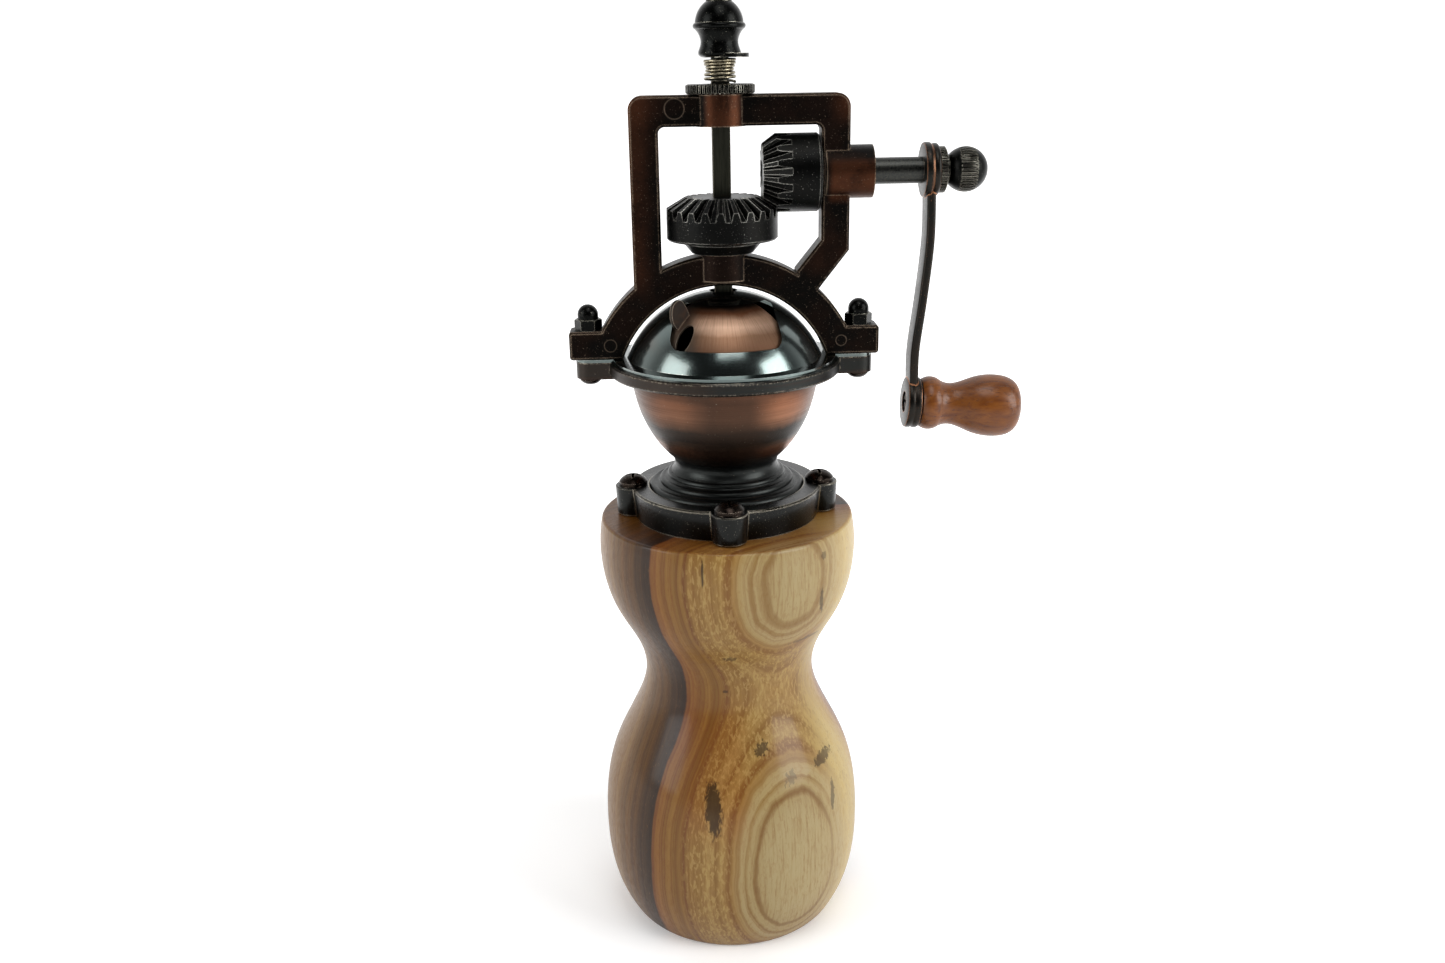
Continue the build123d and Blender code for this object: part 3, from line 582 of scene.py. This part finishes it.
# Knots, bark pockets and checks in the wooden body
MARKS = [
    # x, z, half width, half height (mm), strength, raggedness
    (-5.9, 43.1, 2.2, 7.0, 0.88, 1.2),
    (23.0, 50.0, 2.4, 1.5, 0.7, 1.8),
    (6.8, 56.8, 1.8, 1.5, 0.75, 2.8),
    (14.0, 49.0, 1.4, 1.6, 0.4, 3.0),
    (-7.4, 107.5, 0.3, 3.4, 0.85, 0.8),
    (22.0, 95.9, 0.5, 4.2, 0.65, 1.8),
    (22.3, 108.2, 0.8, 1.0, 0.5, 2.0),
    (-2.0, 71.5, 0.7, 0.5, 0.7, 1.6),
    (25.5, 40.2, 0.6, 3.6, 0.6, 1.6),
    (18.5, 85.0, 4.5, 0.5, 0.5, 2.2),
    (-1.0, 82.5, 1.8, 0.7, 0.6, 3.0),
]


def wood_body_material():
    """Growth rings as a curved field through the block, so the bulges show ovals and the waist bent stripes."""
    s = Shader("figured_wood")
    face = math.radians(28.0)      # the ovals face this far to the right of the front
    across = s.add(s.mul(s.x, math.sin(face)), s.mul(s.y, -math.cos(face)))
    along = s.add(s.mul(s.x, math.cos(face)), s.mul(s.y, math.sin(face)))
    field = s.sub(across, s.mul(s.mul(along, along), 0.0076))
    outside = s.step(field, 25.0, 12.0)
    lean = s.sub(s.step(s.z, 32.0, 64.0, 0.0, 3.0), s.step(s.z, 72.0, 104.0, 0.0, 1.2))
    field = s.sub(field, s.mul(outside, lean))
    slow = s.noise(0.035, 2.0, 0.5)
    field = s.add(field, s.mul(s.sub(slow, 0.5), 2.6))
    ripple = s.noise(0.28, 3.0, 0.6, s.stretch(1.0, 1.0, 0.35))
    field = s.add(field, s.mul(s.sub(ripple, 0.5), 0.9))
    bands = s.ramp(field, [
        (-36.0, srgb(156, 130, 90)), (-12.0, srgb(150, 124, 82)), (-7.0, srgb(116, 92, 56)),
        (-5.4, srgb(132, 104, 64)), (-3.6, srgb(100, 76, 46)), (-1.8, srgb(110, 84, 50)), (0.2, srgb(78, 58, 35)),
        (3.6, srgb(60, 43, 27)), (5.0, srgb(54, 39, 25)), (5.4, srgb(140, 98, 56)), (7.2, srgb(164, 124, 74)),
        (9.0, srgb(150, 112, 62)), (11.2, srgb(170, 136, 84)), (13.2, srgb(148, 112, 62)),
        (14.6, srgb(164, 128, 76)), (15.8, srgb(134, 90, 48)), (16.6, srgb(166, 130, 80)),
        (19.6, srgb(160, 124, 74)), (21.5, srgb(182, 150, 102)), (23.4, srgb(158, 122, 74)),
        (25.0, srgb(180, 148, 98)), (26.4, srgb(146, 102, 52)), (27.2, srgb(178, 142, 88)),
        (28.8, srgb(208, 186, 138)), (29.5, srgb(208, 186, 138)), (29.9, srgb(182, 148, 90)),
        (30.3, srgb(206, 184, 136)), (31.0, srgb(202, 180, 130)), (31.3, srgb(164, 124, 66)),
        (31.7, srgb(202, 180, 132)), (33.0, srgb(212, 194, 150)), (36.0, srgb(218, 202, 160))])
    stripe = s.noise(1.0, 3.0, 0.65, s.vector(s.mul(field, 1.5), 3.0, s.mul(s.z, 0.012)))
    rays = s.noise(1.0, 3.0, 0.65, s.vector(s.mul(along, 1.3), 5.0, s.mul(s.z, 0.09)))
    centre = s.step(field, 31.3, 31.9)
    lines = s.mix(centre, s.step(stripe, 0.4, 0.66, 0.0, 0.6), s.step(rays, 0.45, 0.66, 0.0, 0.45))
    colour = s.mix(lines, bands, s.tinted(bands, srgb(206, 172, 128)))
    heart = s.noise(1.0, 2.0, 0.6, s.vector(s.mul(field, 0.9), 9.0, s.mul(s.z, 0.006)))
    dark_lines = s.mul(s.step(field, 5.4, 4.2), s.step(heart, 0.45, 0.62))
    colour = s.mix(s.mul(dark_lines, 0.4), colour, srgb(92, 68, 42))
    # Painted highlight: lighter towards the right side of the body.
    painted_right_highlight = s.mul(s.step(along, 5.0, 17.0), s.step(field, 6.0, 15.0))
    colour = s.mix(s.mul(painted_right_highlight, 0.7), colour, srgb(226, 208, 164))
    fish = s.noise(1.45, 2.0, 0.55, s.vector(along, across, s.mul(s.z, 0.3)), 0.5)      # fish-scale figure
    region = s.mul(s.step(field, 12.0, 19.0), s.step(field, 29.0, 25.0))
    colour = s.mix(s.mul(region, s.step(fish, 0.5, 0.62, 0.0, 0.5)), colour, srgb(206, 178, 128))
    colour = s.mix(s.mul(region, s.step(fish, 0.44, 0.34, 0.0, 0.28)), colour, srgb(136, 98, 54))
    colour = s.mix(s.mul(s.sub(1.0, region), s.step(fish, 0.5, 0.66, 0.0, 0.22)), colour,
                   s.tinted(colour, srgb(214, 168, 126)))
    pores = s.step(s.noise(1.0, 2.0, 0.5, s.stretch(3.2, 3.2, 0.5)), 0.62, 0.74)
    colour = s.mix(s.mul(pores, 0.3), colour, srgb(150, 112, 66))
    warm = s.mul(s.mul(s.band(s.x, -6.0, 5.0, 7.0), s.band(s.z, 52.0, 9.0, 12.0)), s.step(s.y, 0.0, -8.0))
    colour = s.mix(s.mul(warm, 0.35), colour, s.tinted(colour, srgb(240, 178, 132)))
    front = s.step(s.y, 0.0, -4.0)
    for x, z, wide, tall, strength, ragged in MARKS:
        away = s.length(s.math("DIVIDE", s.sub(s.x, x), wide), s.math("DIVIDE", s.sub(s.z, z), tall))
        away = s.add(away, s.mul(s.sub(fish, 0.5), ragged))
        colour = s.mix(s.mul(s.mul(s.step(away, 1.1, 0.75), front), strength), colour, srgb(58, 42, 26))
    oiled = s.ramp(field, [(-36.0, (0.56, 0.43, 0.2, 1)), (5.0, (0.56, 0.43, 0.18, 1)), (13.0, (0.52, 0.43, 0.22, 1)),
                           (18.0, (0.62, 0.58, 0.40, 1)), (26.0, (0.62, 0.58, 0.40, 1)),
                           (29.0, (0.49, 0.46, 0.38, 1)), (36.0, (0.49, 0.46, 0.38, 1))])
    colour = s.tinted(colour, oiled)
    top = s.step(s.z, 112.0, 112.2)
    colour = s.mix(s.mul(top, 0.5), colour, s.tinted(colour, srgb(214, 160, 104)))
    # Painted shade: darker along the bottom edge, where the body meets the floor.
    painted_foot_shade = s.step(s.z, 0.35, 0.1)
    colour = s.mix(s.mul(painted_foot_shade, 0.6), colour, srgb(120, 88, 54))
    s.set(Base_Color=colour, Roughness=s.step(fish, 0.3, 0.7, 0.36, 0.46),
          Normal=s.bump(s.add(s.mul(fish, 0.6), s.mul(pores, -0.5)), 0.02),
          Coat_Weight=0.16, Coat_Roughness=0.15, Specular_IOR_Level=0.22)
    return s.material


def handle_material():
    s = Shader("handle_wood")
    long_way = s.stretch(0.22, 1.0, 1.0)
    rings = s.noise(0.5, 3.0, 0.6, long_way, 0.6)
    colour = s.ramp(rings, [(0.3, srgb(116, 68, 24)), (0.45, srgb(150, 96, 36)), (0.56, srgb(170, 114, 46)),
                            (0.68, srgb(136, 84, 30)), (0.8, srgb(100, 60, 22))])
    flecks = s.step(s.noise(1.0, 2.0, 0.5, s.stretch(0.55, 2.4, 2.4)), 0.6, 0.7)
    colour = s.mix(s.mul(flecks, 0.75), colour, srgb(92, 52, 22))
    blotch = s.noise(0.16, 2.0, 0.5)
    colour = s.mix(s.step(blotch, 0.4, 0.66, 0.0, 0.4), colour, srgb(126, 80, 30))
    colour = s.tinted(colour, (0.44, 0.31, 0.13, 1))
    s.set(Base_Color=colour, Roughness=s.step(rings, 0.3, 0.7, 0.36, 0.46),
          Normal=s.bump(s.mul(flecks, -1.0), 0.07),
          Coat_Weight=0.2, Coat_Roughness=0.2, Specular_IOR_Level=0.3)
    return s.material


def steel(name, colour_a, colour_b, rough, stretched=(2.0, 2.0, 2.0)):
    """Machined steel in two tones, with pale edges."""
    s = Shader(name)
    lines = s.noise(1.0, 3.0, 0.7, s.stretch(*stretched))
    colour = s.mix(s.step(lines, 0.35, 0.7), colour_a, colour_b)
    colour = s.mix(s.mul(s.edges(0.25), 0.6), colour, PALE)
    s.set(Base_Color=colour, Metallic=1.0, Roughness=s.step(lines, 0.3, 0.7, rough, rough + 0.14),
          Normal=s.bump(lines, 0.015))
    return s.material


materials = {
    "figured_wood": wood_body_material(),
    "handle_wood": handle_material(),
    "blackened_casting": casting("blackened_casting", srgb(46, 48, 46), srgb(66, 64, 58), srgb(190, 182, 164),
                                 rough=(0.24, 0.42), wear=0.56, edge_r=0.6, grain=0.05, coat=0.25),
    "brushed_copper_bowl": bowl_material(),
    "black_dome": casting("black_dome", srgb(96, 108, 106), srgb(104, 92, 82), srgb(170, 172, 166), depth=1.0,
                          rough=(0.14, 0.2), wear=0.45, edge_r=0.35, grain=0.012, coat=0.5, coat_rough=0.06,
                          tint_mask=dome_tint),
    "copper_door": door_material(),
    "frame_casting": casting("frame_casting", srgb(36, 34, 32), srgb(122, 76, 54), srgb(148, 130, 112),
                             rough=(0.34, 0.5), wear=0.52, edge_r=0.55, grain=0.06, tint_mask=frame_tint,
                             marks=EJECTOR_MARKS),
    "bronze_screws": casting("bronze_screws", srgb(70, 60, 54), srgb(112, 92, 78), srgb(180, 166, 150),
                             rough=(0.2, 0.34), wear=0.5, edge_r=0.2, grain=0.02),
    "black_nuts": casting("black_nuts", srgb(42, 43, 42), srgb(64, 62, 58), srgb(168, 164, 150),
                          rough=(0.22, 0.38), wear=0.6, edge_r=0.2, grain=0.02),
    "burr_steel": steel("burr_steel", srgb(132, 132, 130), srgb(98, 98, 96), 0.34),
    "black_steel": steel("black_steel", srgb(52, 53, 52), srgb(66, 66, 62), 0.26),
    "gear_black": casting("gear_black", srgb(44, 45, 44), srgb(72, 66, 58), srgb(186, 184, 176),
                          rough=(0.3, 0.46), wear=0.52, edge_r=0.3, grain=0.04),
    "crank_black": casting("crank_black", srgb(40, 40, 38), srgb(84, 62, 48), srgb(176, 122, 88),
                           rough=(0.26, 0.42), wear=0.6, edge_r=0.42, grain=0.03, depth=0.9),
    "spring_wire": steel("spring_wire", srgb(160, 152, 130), srgb(112, 104, 86), 0.24),
    "spindle_steel": steel("spindle_steel", srgb(48, 48, 41), srgb(34, 34, 29), 0.36, (2.5, 2.5, 0.15)),
}

slot_of = {part["node"]: part["material_slot"] for part in frame["record"]["subparts"]}
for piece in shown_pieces():
    slot = piece.get("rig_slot") or slot_of[piece.name]
    piece.data.materials.clear()
    piece.data.materials.append(materials[slot])


# ---- Floor, light and camera ------------------------------------------------------------------------
FLOOR_HALF = 16.0           # metres, so that no edge comes into view
FLOOR_Z = -0.0002           # metres, just under the base
WHITE = (1, 1, 1, 1)


def floor_material():
    """Pale paper, glowing softly away from the object so that it runs on into the white backdrop."""
    s = Shader("pale_floor")
    tone = s.noise(0.01, 3.0, 0.5)
    away = s.length(s.x, s.y)
    behind = s.step(s.y, -60.0, 260.0, 0.3, 1.0)
    s.set(Base_Color=s.mix(tone, (0.90, 0.90, 0.90, 1), (0.94, 0.94, 0.94, 1)), Roughness=0.8,
          Normal=s.bump(s.noise(0.4, 2.0, 0.5), 0.02), Emission_Color=WHITE,
          Emission_Strength=s.mul(behind, s.step(away, 60.0, 420.0, 0.5, 1.0)))
    return s.material


floor_mesh = bpy.data.meshes.new("floor")
floor_mesh.from_pydata([(x * FLOOR_HALF, y * FLOOR_HALF, 0) for x, y in ((-1, -1), (1, -1), (1, 1), (-1, 1))],
                       [], [(0, 1, 2, 3)])
floor = bpy.data.objects.new("floor", floor_mesh)
floor.location.z = FLOOR_Z
floor_mesh.materials.append(floor_material())
bpy.context.scene.collection.objects.link(floor)

# White surroundings that are dim in front of the object and bright behind it
world = bpy.data.worlds.new("studio")
world.use_nodes = True
bpy.context.scene.world = world
tree = world.node_tree
background = tree.nodes["Background"]
coords = tree.nodes.new("ShaderNodeTexCoord")
split = tree.nodes.new("ShaderNodeSeparateXYZ")
spread = tree.nodes.new("ShaderNodeMapRange")
spread.interpolation_type = "SMOOTHSTEP"
for key, end in (("From Min", -0.1), ("From Max", 0.5), ("To Min", 0.035), ("To Max", 1.05)):
    spread.inputs[key].default_value = end
tree.links.new(coords.outputs["Generated"], split.inputs[0])
tree.links.new(split.outputs[1], spread.inputs["Value"])
tree.links.new(spread.outputs[0], background.inputs["Strength"])
background.inputs["Color"].default_value = WHITE


def softbox(name, place, target, wide, tall, watts):
    light = bpy.data.lights.new(name, "AREA")
    light.shape = "RECTANGLE"
    light.size, light.size_y = wide, tall
    light.energy = watts
    obj = bpy.data.objects.new(name, light)
    obj.location = place
    obj.rotation_euler = (Vector(target) - Vector(place)).to_track_quat("-Z", "Y").to_euler()
    bpy.context.scene.collection.objects.link(obj)


softbox("left_box", (-0.72, -0.30, 0.40), (0, 0, 0.13), 0.45, 0.60, 4.0)
softbox("right_box", (0.72, -0.36, 0.42), (0, 0, 0.13), 0.45, 0.60, 6.2)
softbox("top_box", (0.04, -0.27, 0.82), (0, 0, 0.16), 0.34, 0.46, 2.0)

# The photograph's viewpoint, looking down from slightly left of the front
IMAGE_WIDTH, FOCAL_LENGTH = 1445.0, 1300.0      # pixels
SENSOR_WIDTH = 36.0
camera = bpy.data.objects.new("camera", bpy.data.cameras.new("camera"))
camera.data.sensor_width = SENSOR_WIDTH
camera.data.lens = SENSOR_WIDTH * FOCAL_LENGTH / IMAGE_WIDTH
camera.data.clip_start, camera.data.clip_end = 0.01, 50.0
yaw, pitch, roll = math.radians(-2.3), math.radians(18.0), math.radians(-0.96)
turn = Matrix.Rotation(yaw, 3, "Z")
forward = turn @ Vector((0, math.cos(pitch), -math.sin(pitch)))
right = turn @ Vector((1, 0, 0))
up = right.cross(forward)
right_rolled = right * math.cos(roll) + up * math.sin(roll)
up_rolled = up * math.cos(roll) - right * math.sin(roll)
place = turn @ Vector((-0.98, -317.0, 223.0)) * MM
basis = Matrix((right_rolled, up_rolled, -forward)).transposed()
camera.matrix_world = Matrix.Translation(place) @ basis.to_4x4()
bpy.context.scene.collection.objects.link(camera)
bpy.context.scene.camera = camera
bpy.context.scene.view_settings.view_transform = "Standard"
